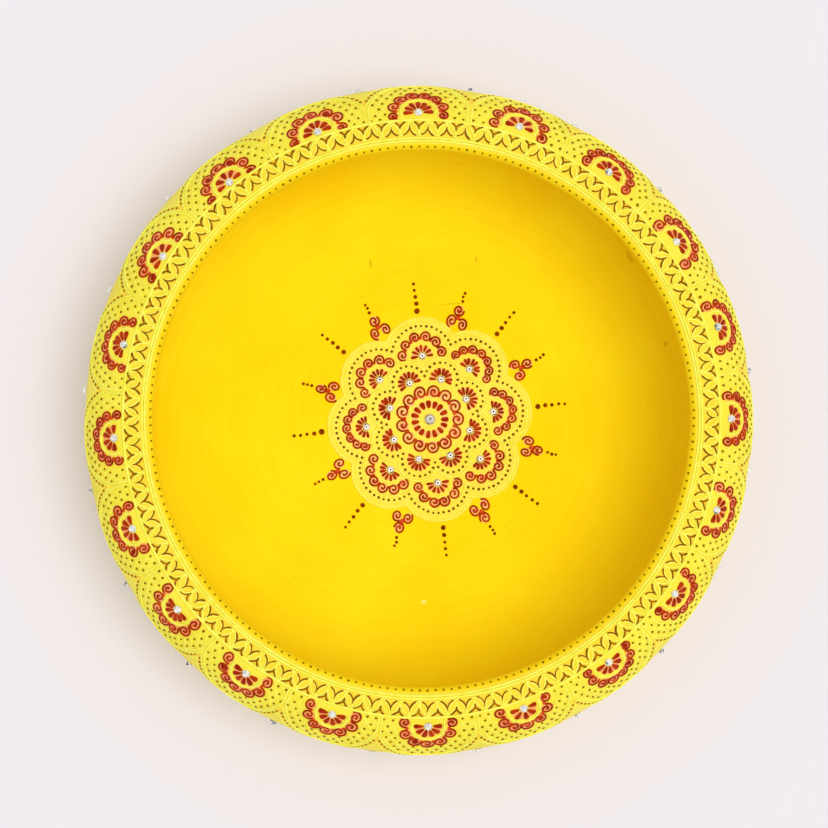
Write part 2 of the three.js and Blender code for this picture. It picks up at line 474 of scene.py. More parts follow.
def makePaint(name):
    colours = paints[name]
    tree, shader, where = newMaterial(name, paintWork["roughness"], paintWork["gloss"])
    brush = useEffect(tree, "brush", where, paintWork["effect"])
    streaks = times(tree, addRange(tree, brush["Streak"], 0.3, 0.7), paintWork["streakShare"])
    clouds = times(tree, addRange(tree, brush["Cloud"], 0.3, 0.7), paintWork["cloudShare"])
    tone = plus(tree, streaks, clouds)
    colour = mixTones(tree, tone, colours)
    height = brush["Relief"]
    if "fadeTo" in colours:
        up = addNode(tree, "SeparateXYZ", {0: where}).outputs[2]
        ragged = plus(tree, up, times(tree, brush["Cloud"], paintWork["fadeRagged"] * mm))
        share = addRange(tree, ragged, *(edge * mm for edge in paintWork["fadeHeights"]))
        colour = mixColour(tree, share, colour, mixTones(tree, tone, paints[colours["fadeTo"]]))
    for fault in colours.get("faults", ()):
        mapping = addNode(tree, "Mapping", {
            "Vector": where,
            "Location": [part * mm for part in fault["place"]],
            "Rotation": (0, 0, math.radians(fault["turn"])),
            "Scale": [part * mm for part in fault["size"]],
        })
        mapping.vector_type = "TEXTURE"
        mask = useEffect(tree, "nick", mapping.outputs[0], {"Ragged": 0.5})["Mask"]
        share = times(tree, mask, fault["share"])
        colour = mixColour(tree, share, colour, fromHex(fault["colour"]))
        height = addMath(tree, "SUBTRACT", height, share)
    setInputs(tree, shader, {
        "Base Color": colour,
        "Specular Tint": fromHex(colours["light"]),
        "Roughness": addRange(tree, brush["Cloud"], 0.25, 0.75, *paintWork["roughnessRange"]),
        "Normal": addBump(tree, height, paintWork["relief"]),
    })


for name in paints:
    makePaint(name)


# Piped paste, glossier than the paint, its tone drifting along each line

pastes = {
    "lemonPaste": {"light": "fbfa68", "deep": "f6ee4a", "roughness": 0.4},
    "redPaste": {"light": "bc3a08", "deep": "902004", "roughness": 0.38},
    "rosePaste": {"light": "dc5426", "deep": "c43c14", "roughness": 0.45},
    "maroonPaste": {"light": "8c6010", "deep": "68420a", "roughness": 0.38},
    "olivePaste": {"light": "9e7a06", "deep": "7a5c04", "roughness": 0.38},
    "brickPaste": {"light": "ac6206", "deep": "7c4603", "roughness": 0.38},
    "russetPaste": {"light": "9c4204", "deep": "712f02", "roughness": 0.38},
}
pasteWork = {
    "roughnessRange": (-0.08, 0.1),  # about the roughness of each
    "gloss": 0.4,
    "effect": {"Skin": 900},
    "pinholes": 0.5,
    "relief": 0.08,
}


def makePaste(name):
    colours = pastes[name]
    tree, shader, where = newMaterial(name, colours["roughness"], pasteWork["gloss"])
    paste = useEffect(tree, "paste", where, pasteWork["effect"])
    colour = mixTones(tree, paste["Tone"], colours)
    pinholes = times(tree, paste["Pinholes"], pasteWork["pinholes"])
    roughness = [colours["roughness"] + more for more in pasteWork["roughnessRange"]]
    setInputs(tree, shader, {
        "Base Color": mixColour(tree, pinholes, colour, fromHex(colours["deep"])),
        "Specular Tint": fromHex(colours["light"]),
        "Roughness": addRange(tree, paste["Tone"], 0, 1, *roughness),
        "Normal": addBump(tree, paste["Relief"], pasteWork["relief"]),
    })


for name in pastes:
    makePaste(name)


# Clay, glass and the board

clay = {"light": "b4643c", "deep": "9a4e2c", "grog": "d69a70", "rough": 0.85, "gloss": 0.3, "relief": 0.25}
glass = {"rough": 0.1, "gloss": 0.3, "metallic": 0.06, "haze": (0.8, 0.83, 0.88, 1), "hazeShare": 0.25}
board = {"size": 5, "grain": (0.82, 0.78, 0.8, 1), "grainShare": 0.04, "rough": 0.85, "gloss": 0.1}


def makeClay():
    # bare terracotta where the bowl stands, with grog and wear
    tree, shader, where = newMaterial("bareClay", clay["rough"], clay["gloss"])
    clouds = addRange(tree, addNoise(tree, where, scale=60, detail=5, roughness=0.6), 0.3, 0.7)
    specks = addRange(tree, addCells(tree, where, 900), 0.1, 0.22, 1, 0)
    colour = mixColour(tree, times(tree, specks, 0.5), mixTones(tree, clouds, clay), fromHex(clay["grog"]))
    height = plus(tree, clouds, times(tree, specks, 0.4))
    setInputs(tree, shader, {"Base Color": colour, "Normal": addBump(tree, height, clay["relief"])})


def makeGlass():
    # foil-backed glass: each facet's colour is painted light, light facets a painted reflection in the
    # silvering and dark facets painted shade
    tree, shader, where = newMaterial("foiledGlass", glass["rough"], glass["gloss"])
    facet = addNode(tree, "Attribute")
    facet.attribute_name = "paintedFacetLight"
    mist = addRange(tree, addNoise(tree, where, scale=1500, detail=2, roughness=0.5), 0.4, 0.7)
    haze = times(tree, mist, glass["hazeShare"])
    colour = mixColour(tree, haze, facet.outputs["Color"], glass["haze"])
    setInputs(tree, shader, {"Base Color": colour, "Metallic": glass["metallic"]})


def layBoard():
    tree, shader, where = newMaterial("paleBoard", board["rough"], board["gloss"])
    grain = addRange(tree, addNoise(tree, where, scale=900, detail=3, roughness=0.6), 0.3, 0.7)
    share = times(tree, grain, board["grainShare"])
    colour = mixColour(tree, share, fromHex(light["backdrop"]), board["grain"])
    setInputs(tree, shader, {"Base Color": colour})
    clearSelection()
    bpy.ops.mesh.primitive_plane_add(size=board["size"])  # metres
    piece = bpy.context.object
    piece.name = "board"
    piece.data.materials.append(bpy.data.materials["paleBoard"])


makeClay()
makeGlass()
print("materials made")


# The shell: its section drawn point by point, then spun about the axis

shellCoats = ["goldPaint", "lemonGround", "bareClay", "shadedLipGold", "leafGround"]
coatEdges = {
    "leafReach": 133.3,  # the ring line, where the golden ground of the leaf band ends
    "overCrown": 0.9,  # how far in over the crown the outer coats go
    "lipShare": 0.6,  # how far down its nose the lip has a darker gold, painted shade where it rolls over into the bowl, in walls
    "footReach": 71.6,  # bare clay within it
    "underFloor": 2,  # so far under the floor, all paint is outside
}


def shellSection():
    footOutside = bowl["baseRadius"] - bowl["footSetback"]
    footInside = footOutside - bowl["footWidth"]
    top, soft = bowl["footHeight"], bowl["footRound"]
    softer = soft * 0.6  # in the corner between the foot and the body
    foot = np.vstack([
        [(0, top), (footInside / 2, top)],
        arc((footInside - soft, top - soft), soft, soft, 90, 0, 4),
        arc((footInside + soft, soft), soft, soft, 180, 270, 4),
        arc((footOutside - soft, soft), soft, soft, 270, 360, 4),
        arc((footOutside + softer, top - softer), softer, softer, 180, 90, 3),
    ])
    outside = faceOutline(0, 30, 34)[::-1]
    inside = faceOutline(bowl["wall"], 22, 34)
    floorRings = [(bowl["baseRadius"] * share, floorHeight) for share in (0.8, 0.6, 0.4, 0.2, 0)]
    section = np.vstack([foot, outside, noseOutline(12)[::-1][1:], inside, floorRings]) * mm
    apart = np.hypot(*np.diff(section, axis=0).T) > 1e-6
    return section[np.append(True, apart)]


def coatAt(reach, up):
    # gold is all that shows inside and low down, so the other coats are named where they are
    middle = bowl["wall"] / 2
    if up < girthHeight:
        across = max(reach - bowl["baseRadius"], 0) / (bowl["girthRadius"] - bowl["baseRadius"] - middle)
        rise = (girthHeight - up) / (girthHeight - bowl["footHeight"] - middle)
    else:
        across = (reach - crown) / (bowl["shoulderRadius"] - middle)
        rise = (up - girthHeight) / (bowl["shoulderRadius"] - middle)
    outside = math.hypot(across, rise) > 1 and reach > crown - coatEdges["overCrown"]
    onFoot = reach > coatEdges["footReach"] and up < floorHeight - coatEdges["underFloor"]
    if reach < coatEdges["footReach"] and up < bowl["footHeight"] + 0.1:
        return "bareClay"
    if outside or onFoot:
        return "leafGround" if up > girthHeight and reach < coatEdges["leafReach"] else "lemonGround"
    # the nose of the lip takes the darker gold, painted shade where it rolls away
    if up > bowl["height"] - bowl["wall"] * coatEdges["lipShare"]:
        return "shadedLipGold"
    return "goldPaint"


def makeShell():
    section = shellSection()
    clearSelection()
    bpy.ops.mesh.primitive_plane_add(size=mm, location=(section[0][0], 0, section[0][1]))
    shell = bpy.context.object
    shell.name = "painted_shell"
    openMesh(shell)
    bpy.ops.mesh.merge(type="CENTER")
    for last, point in zip(section, section[1:]):
        step = (point[0] - last[0], 0, point[1] - last[1])
        bpy.ops.mesh.extrude_region_move(TRANSFORM_OT_translate={"value": step})
    selectMesh()
    bpy.ops.mesh.spin(steps=bowl["roundSteps"], angle=math.tau, center=(0, 0, 0), axis=(0, 0, 1))
    selectMesh()
    bpy.ops.mesh.remove_doubles(threshold=2e-6)
    bpy.ops.mesh.normals_make_consistent(inside=False)
    closeMesh()
    bpy.ops.object.transform_apply(location=True, rotation=True, scale=True)
    finishPiece(shell, shellCoats, "painted_clay", "bowl_shell")
    for patch in shell.data.polygons:
        reach = math.hypot(patch.center.x, patch.center.y) / mm
        patch.material_index = shellCoats.index(coatAt(reach, patch.center.z / mm))
    bpy.ops.object.shade_smooth_by_angle(angle=math.radians(50))


bpy.context.scene.view_settings.view_transform = "Standard"
addCamera()
addLight()
layBoard()
makeShell()
print("shell made")


# Piping: lines of paste laid on a face

roundTip = ((0.55, 0.82), (0.92, 0.38))  # steps past the end of a line and the thickness there, in its radii


def pipeLines(name, lines, finish, *nodes, sides=2):
    # each line is its places in metres, its radii in millimetres, and whether it closes on itself
    curve = bpy.data.curves.new(name, "CURVE")
    curve.dimensions = "3D"
    curve.bevel_depth = mm
    curve.bevel_resolution = sides
    curve.use_fill_caps = True
    for places, radii, closed in lines:
        spline = curve.splines.new("POLY")
        spline.points.add(len(places) - 1)
        spline.points.foreach_set("co", np.column_stack([places, np.ones(len(places))]).ravel())
        spline.points.foreach_set("radius", radii)
        spline.use_cyclic_u = closed
    workOn(linkPiece(name, curve))
    bpy.ops.object.convert(target="MESH")
    piece = bpy.context.object
    faceOut(piece, 60)
    finishPiece(piece, [finish], "piped_relief", *nodes)


def roundEnds(line):
    # two more places past each end, in rows of x, y and radius
    for _ in range(2):
        line = line[::-1]
        ahead = line[-1, :2] - line[-2, :2]
        ahead /= max(np.hypot(*ahead), 1e-9)
        end, tip = line[-1, :2], line[-1, 2]
        line = np.vstack([line, *((*(end + ahead * tip * step), tip * share) for step, share in roundTip)])
    return line


def layLine(place, x, y, radius, height=0.1, closed=False):
    # a line in a patch, with round ends where it is open
    line = np.column_stack([x, y, np.broadcast_to(radius, len(x))])
    if not closed:
        line = roundEnds(line)
    x, y, radii = line.T
    return place(x, y, height) * mm, np.ascontiguousarray(radii), closed


def smoothThrough(points, steps):
    # a soft curve through a few points of a stroke
    points = np.asarray(points, float)
    marks = lengthsAlong(*points.T)
    padded = np.vstack([2 * points[0] - points[1], points, 2 * points[-1] - points[-2]])
    out = []
    for value in np.linspace(0, marks[-1], steps):
        i = min(int(np.searchsorted(marks, value, side="right")) - 1, len(points) - 2)
        t = (value - marks[i]) / (marks[i + 1] - marks[i])
        a, b, c, d = padded[i:i + 4]
        bend, twist = 2 * a - 5 * b + 4 * c - d, 3 * b - a - 3 * c + d
        out.append((2 * b + (c - a) * t + bend * t ** 2 + twist * t ** 3) / 2)
    return np.array(out)


def evenSteps(x, y, step, values):
    # what each of the values is at even steps along a line
    marks = lengthsAlong(x, y)
    wanted = np.linspace(0, marks[-1], max(int(round(marks[-1] / step)), 1) + 1)
    return [np.interp(wanted, marks, value) for value in values]


def archRise(swing, bend):
    # how high a round arch stands at a swing from its top, in radians: 1 at the top and 0 at its feet
    return (np.cos(swing) - math.cos(bend)) / (1 - math.cos(bend))


# Stamping: a small shape modelled once, and laid down many times on a face

def takeTemplate(piece):
    mesh = piece.data
    places = np.array([v.co for v in mesh.vertices]) / mm
    faces = [list(p.vertices) for p in mesh.polygons]
    bpy.data.objects.remove(piece)
    bpy.data.meshes.remove(mesh)
    return places, faces


def makeDot():
    # a drop of paste, one millimetre in radius, with its foot in the surface
    clearSelection()
    bpy.ops.mesh.primitive_uv_sphere_add(segments=10, ring_count=6, radius=mm)
    openMesh(bpy.context.object)
    bpy.ops.mesh.bisect(plane_co=(0, 0, -0.3 * mm), plane_no=(0, 0, 1), use_fill=True, clear_inner=True)
    selectMesh()
    bpy.ops.transform.resize(value=(1, 1, 0.55))
    closeMesh()
    return takeTemplate(bpy.context.object)


def makePetal(taper):
    # a wedge of paste, one millimetre long and wide, narrower by the taper where it meets the stone
    clearSelection()
    bpy.ops.mesh.primitive_cube_add(size=mm)
    petal = bpy.context.object
    openMesh(petal)
    bpy.ops.mesh.bevel(offset=0.36 * mm, segments=3, affect="EDGES")
    closeMesh()
    for vertex in petal.data.vertices:
        vertex.co.x *= taper + (1 - taper) * (vertex.co.y / mm + 0.5)
    return takeTemplate(petal)


def makeDisc():
    # a thin round coat of paint, one millimetre in radius
    clearSelection()
    bpy.ops.mesh.primitive_cylinder_add(vertices=14, radius=mm, depth=0.2 * mm)
    return takeTemplate(bpy.context.object)


templates = {"dot": makeDot(), "petal": makePetal(0.34), "block": makePetal(0.56), "disc": makeDisc()}


def layMesh(name, places, faces, smoothAngle, finish, slot):
    # places in metres
    mesh = bpy.data.meshes.new(name)
    mesh.from_pydata(places.tolist(), [], faces)
    piece = linkPiece(name, mesh)
    faceOut(piece, smoothAngle)
    finishPiece(piece, [finish], slot)


def stamp(name, shape, seats, finish):
    # each seat is a patch, the shape's middle in it, its sizes, its turn and its height
    places, faces = templates[shape]
    allPlaces, allFaces = [], []
    for place, x, y, sizes, turn, height in seats:
        wide, long, tall = (places * sizes).T
        c, s = math.cos(math.radians(turn)), math.sin(math.radians(turn))
        start = len(allPlaces) * len(places)
        allPlaces.append(place(x + wide * c - long * s, y + wide * s + long * c, height + tall) * mm)
        allFaces.extend([[start + i for i in corners] for corners in faces])
    layMesh(name, np.vstack(allPlaces), allFaces, 60, finish, "piped_relief")


def layBands(name, bands, finish, top):
    # thin strips of paint: each is its place and its two edges, an edge being a list of x and a list of y
    places, faces = [], []
    for place, first, second in bands:
        start, count = len(places), len(first[0])
        corners = [place(*first, top), place(*second, top), place(*second, -0.2), place(*first, -0.2)]
        places.extend(np.stack(corners, axis=1).reshape(-1, 3) * mm)
        last = start + 4 * (count - 1)
        for corner in range(start, last, 4):
            for a, b in ((0, 1), (1, 2), (2, 3), (3, 0)):
                faces.append([corner + a, corner + b, corner + 4 + b, corner + 4 + a])
        faces.append([start, start + 1, start + 2, start + 3])
        faces.append([last + 3, last + 2, last + 1, last])
    layMesh(name, np.array(places), faces, 40, finish, "painted_clay")


# how far dots stray in size, place and roundness, and how far above the face they lie
dotWork = {"size": 0.12, "place": 0.12, "round": 0.08, "above": 0.05}


def dotSeat(place, x, y, radius):
    width = radius * (1 + wander(dotWork["size"]))
    x, y = x + wander(dotWork["place"]), y + wander(dotWork["place"])
    sizes = (width, width * (1 + wander(dotWork["round"])), radius)
    return place, x, y, sizes, wander(90), dotWork["above"]


# Curls and petals, drawn the same way in every flower

# how far above the face the middle of each kind of stroke lies
above = {"petal": 0.12, "band": 0.1, "curl": 0.14, "coat": 0.05, "core": 0.13, "joint": 0.08, "blot": 0.05}
curl = {
    "turns": 1.42,
    "line": 0.47,
    "middle": 0.16,  # how far from the middle a curl ends, as a share of its reach
    "lean": 0.11,  # how far its middle lies towards its start
    "start": 200,  # where it starts, against the way it stands from the stone
    "core": 0.21,
    "points": 24,
}


def drawCurl(place, x, y, size, turn, tall=1.0):
    # starts thick on the outside, goes nearly round and then winds in; size is its whole width
    t = np.linspace(0, 1, curl["points"])
    edge = (size * (1 + wander(0.05)) / 2 - curl["line"]) / (1 - curl["lean"])
    reach = edge * (1 - (1 - curl["middle"]) * t ** 1.3)
    start = math.radians(turn + wander(10))
    angle = start - t * math.tau * (curl["turns"] + wander(0.08))
    stretch = (1 + wander(0.05)) / tall
    alongX = x + (reach * np.cos(angle) - curl["lean"] * edge * math.cos(start)) * stretch
    alongY = y + (reach * np.sin(angle) - curl["lean"] * edge * math.sin(start)) / stretch
    # thinner as it goes, with a drop at its inner end
    radii = curl["line"] * (1.08 - 0.22 * t + 0.35 * t ** 6) * (1 + wander(0.08))
    return layLine(place, alongX, alongY, radii, above["curl"])


def addCurl(work, place, x, y, size, turn, coat, coreShare, tall=1.0, swell=1.0):
    # a curl on its coat of wash, and by that chance the redder middle of it, a little off its centre
    work["curls"].append(drawCurl(place, x, y, size * swell, turn, tall))
    work["coats"].append((place, x, y, (*coat, 0.6), 0, above["coat"]))
    if coreShare == 1 or hand.random() < coreShare:
        radius = size * curl["core"] * (1 + wander(0.2))
        x, y = x + wander(0.45), y + wander(0.45)
        sizes = (radius, radius * (1 + wander(0.15)), 0.6)
        work["cores"].append((place, x, y, sizes, wander(90), above["core"]))


def aroundStone(turn, reach, longer):
    return reach * np.sin(turn), longer * reach * np.cos(turn)


def drawRing(work, place, curls, angles, sizes, swell=1.0):
    # curls round a stone, and the smears where one runs into the next
    for angle, size in zip(angles, sizes):
        turn = math.radians(angle + wander(curls["waver"]))
        x, y = aroundStone(turn, curls["reach"], curls["longer"])
        coat = size / 2 - curls["coatInset"]
        addCurl(work, place, x, y, size, curl["start"] - angle, (coat, coat), curls["cores"], swell=swell)
        if curls["blots"] and hand.random() < curls["blots"]:
            x, y = x + wander(0.5), y + wander(0.5)
            work["blots"].append((place, x, y, (1.5, 1.2, 0.5), wander(90), above["blot"]))
    smear = curls["joint"]
    for first, second in zip(angles, angles[1:]):
        turn = math.radians((first + second) / 2 + wander(2))
        x, y = aroundStone(turn, curls["reach"] - curls["jointInset"], curls["longer"])
        sizes = (smear * (1 + wander(0.3)), smear * 0.8, 0.4)
        work["joints"].append((place, x, y, sizes, -math.degrees(turn), above["joint"]))


def fan(count, first, last):
    # even angles round a stone, measured from the way that the flower opens
    return [first + (last - first) * i / (count - 1) for i in range(count)]


def addFan(work, place, angles, ends, petals, width):
    # petals round a stone, and the coat of wash under them from one end of the fan to the other
    inner, outer, longer = petals["inner"], petals["outer"], petals["longer"]
    for angle in angles:
        turn = math.radians(angle + wander(2.5))
        x, y = aroundStone(turn, (inner + outer) / 2 + wander(0.1), longer)
        length = (outer - inner) * (1 + wander(0.08))
        sizes = (width * (1 + wander(0.12)), length, 1.1)
        work["petals"].append((place, x, y, sizes, -math.degrees(turn), above["petal"]))
    turn = np.radians(np.linspace(*ends, 37))
    work["bands"].append((place, *(aroundStone(turn, reach, longer) for reach in (inner + 0.3, outer - 0.3))))


def layWork(kind, work, shape, bandName, wash):
    # the pieces of all the flowers of one kind
    stamp(kind + "_petals", shape, work["petals"], "redPaste")
    pipeLines(kind + "_curls", work["curls"], "redPaste", sides=1)
    if work["arcs"]:
        pipeLines(kind + "_arcs", work["arcs"], "lemonPaste")
    stamp(kind + "_wash", "disc", work["coats"], wash)
    stamp(kind + "_cores", "disc", work["cores"], "salmonWash")
    layBands(bandName, work["bands"], wash, above["band"])
    stamp(kind + "_joints", "dot", work["joints"], "rosePaste")
    if work["blots"]:
        stamp(kind + "_blots", "dot", work["blots"], "redPaste")


# The mouth, with two lines and a row of dots, and the ring line past the leaf band

mouth = {
    "lines": ((0.25, 0.58), (1.5, 0.55)),  # run and radius
    "wobble": 0.045,
    "dots": 214,
    "dotRun": -2.3,
    "dot": 0.52,
}
ring = {"run": 10, "line": 0.7, "wobble": 0.06, "above": 0.12}


def ringLine(run, radius, wobble):
    # a line right round the shoulder at one run, its weight changing a little as the hand went round
    bearing = np.linspace(0, 360, 360, endpoint=False)
    turn = np.radians(bearing)
    sway = wobble * (np.sin(5 * turn + run) + 0.6 * np.sin(13 * turn + 2 * run))
    weight = radius * (1 + 0.07 * np.sin(9 * turn + run) + 0.05 * np.sin(23 * turn))
    return onFace(bearing, run + sway, ring["above"]) * mm, weight, True


def makeMouth():
    pipeLines("mouth_lines", [ringLine(*line, mouth["wobble"]) for line in mouth["lines"]], "lemonPaste")
    pipeLines("ring_line", [ringLine(ring["run"], ring["line"], ring["wobble"])], "lemonPaste")
    dots = []
    for i in range(mouth["dots"]):
        place = shoulderPatch(i * 360 / mouth["dots"], mouth["dotRun"], onFace)
        dots.append(dotSeat(place, 0, 0, mouth["dot"]))
    stamp("mouth_dots", "dot", dots, "olivePaste")


# The leaf band: lemon leaves in a zigzag, with brown forks in the gaps on both sides of them

leafBand = {
    "pairs": 97,
    "run": 6,
    "mouthRun": 2.5,
    "ringRun": 9.2,
    "bulge": 1.3,
    "line": 0.52,
    "stroke": 0.33,
    "strokeSteps": 7,
}
fork = {
    "stem": [(0, 1.4), (0, 0.4)],
    "arm": [(0, 0.6), (0.35, -0.6), (1.0, -1.8), (1.8, -2.5), (2.6, -2.95)],
    "left": 1,
    "right": 1,
}
tooth = {
    "stem": [(0, 0.0), (0, 1.4)],
    "arm": [(0, 1.2), (0.5, 2.0), (1.2, 2.7), (2.0, 3.2)],
    "left": 0.8,
    "right": 1.35,
}


def leafOutline(place, first, second, bulge):
    t = np.linspace(0, 1, 10)
    ahead = np.subtract(second, first)
    across = np.array([-ahead[1], ahead[0]]) / np.hypot(*ahead)
    out = np.outer(np.sin(t * math.pi) ** 0.8 * bulge, across)
    middle = np.outer(1 - t, first) + np.outer(t, second)
    loop = np.vstack([middle + out, (middle - out)[::-1][1:-1]])
    return layLine(place, *loop.T, leafBand["line"], height=0, closed=True)


def drawFork(place, x, y, shape):
    # a short stem and an arm on each side of it, thickening towards the tips
    size, lean = 1 + wander(0.08), math.radians(wander(6))
    leaning = np.array([[math.cos(lean), math.sin(lean)], [-math.sin(lean), math.cos(lean)]])
    lines = []
    for points, way in ((shape["stem"], 1), (shape["arm"], shape["right"]), (shape["arm"], -shape["left"])):
        points = smoothThrough(points, leafBand["strokeSteps"]) * size
        points[:, 0] *= way * (1 + wander(0.08))
        points = points @ leaning + (x, y)
        radii = np.linspace(0.85, 1.25, len(points)) * leafBand["stroke"] * (1 + wander(0.1))
        lines.append(layLine(place, *points.T, radii, height=0.26))
    return lines


def makeLeafBand():
    leaves, forks = [], []
    step = 360 / leafBand["pairs"]
    half = math.radians(step / 2) * readFace("reach", leafBand["run"])
    mouthSide = leafBand["mouthRun"] - leafBand["run"]
    ringSide = leafBand["ringRun"] - leafBand["run"]
    for i in range(leafBand["pairs"]):
        place = shoulderPatch(i * step, leafBand["run"], onFace)
        for way in (-1, 1):
            foot = (wander(0.2), ringSide + wander(0.1))
            tip = (way * half + wander(0.25), mouthSide + wander(0.1))
            leaves.append(leafOutline(place, foot, tip, leafBand["bulge"] * (1 + wander(0.12))))
        forks.extend(drawFork(place, wander(0.25), wander(0.2), fork))
        forks.extend(drawFork(place, half + wander(0.25), wander(0.2), tooth))
    pipeLines("leaf_outlines", leaves, "lemonPaste", sides=1)
    pipeLines("leaf_forks", forks, "brickPaste", sides=1)


# The arches round the shoulder: three lines, a row of dots and an orange border between them

arch = {
    "count": 20,
    "valleyRun": 18.5,
    "topRun": 39.5,
    "turn": 50,
    "halfWidth": 9 - math.degrees(0.75 / 123.5),  # so that two stems touch between the arches
    "line": 0.5,
    "second": {"away": 1.6, "stray": 0.15, "line": 0.42},
    "third": {"away": 4.3, "stray": 0.2, "line": 0.42},
    "dotRow": {"away": 2.8, "dot": 0.6, "pitch": 2.6},
    "border": (1.8, 4.0),
}
pitch = 360 / arch["count"]


def archAt(swing):
    rise = archRise(swing, math.radians(arch["turn"]))
    return arch["valleyRun"] + (arch["topRun"] - arch["valleyRun"]) * rise


def archPath():
    # degrees from the arch's middle and runs, from one foot over the top to the other
    swing = np.radians(np.linspace(-arch["turn"], arch["turn"], 61))
    return arch["halfWidth"] * np.sin(swing) / math.sin(math.radians(arch["turn"])), archAt(swing)


def stemmedPath():
    # the same with its stems, up to the ring line
    offset, run = archPath()
    stem = np.linspace(ring["run"], arch["valleyRun"], 7)[:-1]
    side = np.full(6, arch["halfWidth"])
    return np.concatenate([-side, offset, side]), np.concatenate([stem, run, stem[::-1]])


def pathBeside(away):
    # the arch's path moved outwards, in degrees and runs too
    offset, run = archPath()
    x = np.radians(offset) * readFace("reach", run)
    ahead = np.gradient(np.column_stack([x, run]), axis=0)
    ahead /= np.linalg.norm(ahead, axis=1)[:, None]
    x, run = x - ahead[:, 1] * away, run + ahead[:, 0] * away
    return np.degrees(x / readFace("reach", run)), run


def cutBeside(away):
    # a path beside the arch, cut off where the next arch's begins
    offset, run = pathBeside(away)
    kept = np.abs(offset) <= pitch / 2
    return offset[kept], run[kept]


def borderEdge(away):
    offset, run = pathBeside(away)
    return np.clip(offset, -pitch / 2, pitch / 2), run


def makeArches():
    first, outer, dots, borders = [], {"second": [], "third": []}, [], []
    for i in range(arch["count"]):
        place = archPatch(i * pitch)
        first.append(layLine(place, *stemmedPath(), arch["line"] * (1 + wander(0.06)), height=0.25))
        for title, lines in outer.items():
            away = arch[title]["away"] + wander(arch[title]["stray"])
            lines.append(layLine(place, *cutBeside(away), arch[title]["line"], height=0.12))
        offset, run = cutBeside(arch["dotRow"]["away"])
        x = np.radians(offset) * readFace("reach", run)
        for offset, run in zip(*evenSteps(x, run, arch["dotRow"]["pitch"], (offset, run))):
            if abs(offset) < pitch / 2 - 0.3:
                dots.append(dotSeat(shoulderPatch(i * pitch - offset, run), 0, 0, arch["dotRow"]["dot"]))
        borders.append((place, *(borderEdge(away) for away in arch["border"])))
    pipeLines("arch_lines", first, "lemonPaste", "shoulder_piping")
    for title, lines in outer.items():
        pipeLines(title + "_arch_lines", lines, "lemonPaste")
    stamp("arch_dots", "dot", dots, "olivePaste")
    layBands("arch_borders", borders, "orangeGold", 0.05)


# The flower in each arch

flower = {
    "run": 14.7,
    "petals": (5, 6, 6, 7),
    "petalFan": (-88, 88),
    "petal": {"inner": 2.1, "outer": 6.2, "longer": 1.05},
    "petalWidth": 2.75,  # where there are six; a little narrower where there are more
    "arc": {"line": 0.6, "reach": 7.4, "half": 104},
    "curls": (7, 7, 8),
    "curlFan": (-97, 97),
    "curlSizes": {7: 6.24, 8: 5.76},
    "endCurl": 0.9,  # how large the curls at the fan's two ends are, as a share
    "ring": {
        "reach": 10.5,
        "longer": 1.05,
        "waver": 2,
        "coatInset": 0.45,
        "cores": 1,
        "blots": 0.14,
        "jointInset": 1.1,
        "joint": 1.0,
    },
}


def makeFlowers():
    work = defaultdict(list)
    for i in range(arch["count"]):
        place = shoulderPatch(i * pitch, flower["run"])
        angles = fan(hand.choice(flower["petals"]), *flower["petalFan"])
        width = flower["petalWidth"] * (1 + 0.1 * (6 - len(angles)))
        addFan(work, place, angles, flower["petalFan"], flower["petal"], width)
        turn = np.radians(np.linspace(-flower["arc"]["half"], flower["arc"]["half"], 26))
        reach = flower["arc"]["reach"] * (1 + 0.02 * np.sin(3 * turn + i))
        path = aroundStone(turn, reach, flower["petal"]["longer"])
        work["arcs"].append(layLine(place, *path, flower["arc"]["line"], height=0.12))
        count = hand.choice(flower["curls"])
        angles = fan(count, *flower["curlFan"])
        less = [(1 - flower["endCurl"]) * (angle / flower["curlFan"][1]) ** 2 for angle in angles]
        sizes = [flower["curlSizes"][count] * (1 - part) for part in less]
        drawRing(work, place, flower["ring"], angles, sizes)
    layWork("flower", work, "petal", "petal_wash", "blushWash")


# The net of lines and dots between the flower and its arch

net = {
    "across": 2.1,
    "down": 3.3,
    "rows": 12,
    "columns": 10,  # to each side
    "firstRun": 2.2,  # past the ring line
    "middleRun": 27,
    "line": 0.3,
    "lineStarts": (-23, 26, 2),  # in steps across, from and up to and by
    "lineLength": 36,
    "lineStep": 1.2,
    "bow": 0.15,  # degrees
    "dot": 0.6,
    "clear": 13.9,  # of the flower's stone
    "clearOfRing": 0.9,
    "clearOfSides": 0.2,  # degrees
    "clearOfArch": {"dot": 1.5, "line": 0.3},
}


def insideArch(offset, run, margin):
    x = np.radians(offset) * readFace("reach", flower["run"])
    y = (run - flower["run"]) / flower["petal"]["longer"]
    share = np.clip(np.abs(offset) / arch["halfWidth"], 0, 1)
    top = archAt(np.arcsin(share * math.sin(math.radians(arch["turn"]))))
    underArch = (run < top - margin) & (np.abs(offset) < arch["halfWidth"] - net["clearOfSides"])
    return (np.hypot(x, y) > net["clear"]) & underArch & (run > ring["run"] + net["clearOfRing"])


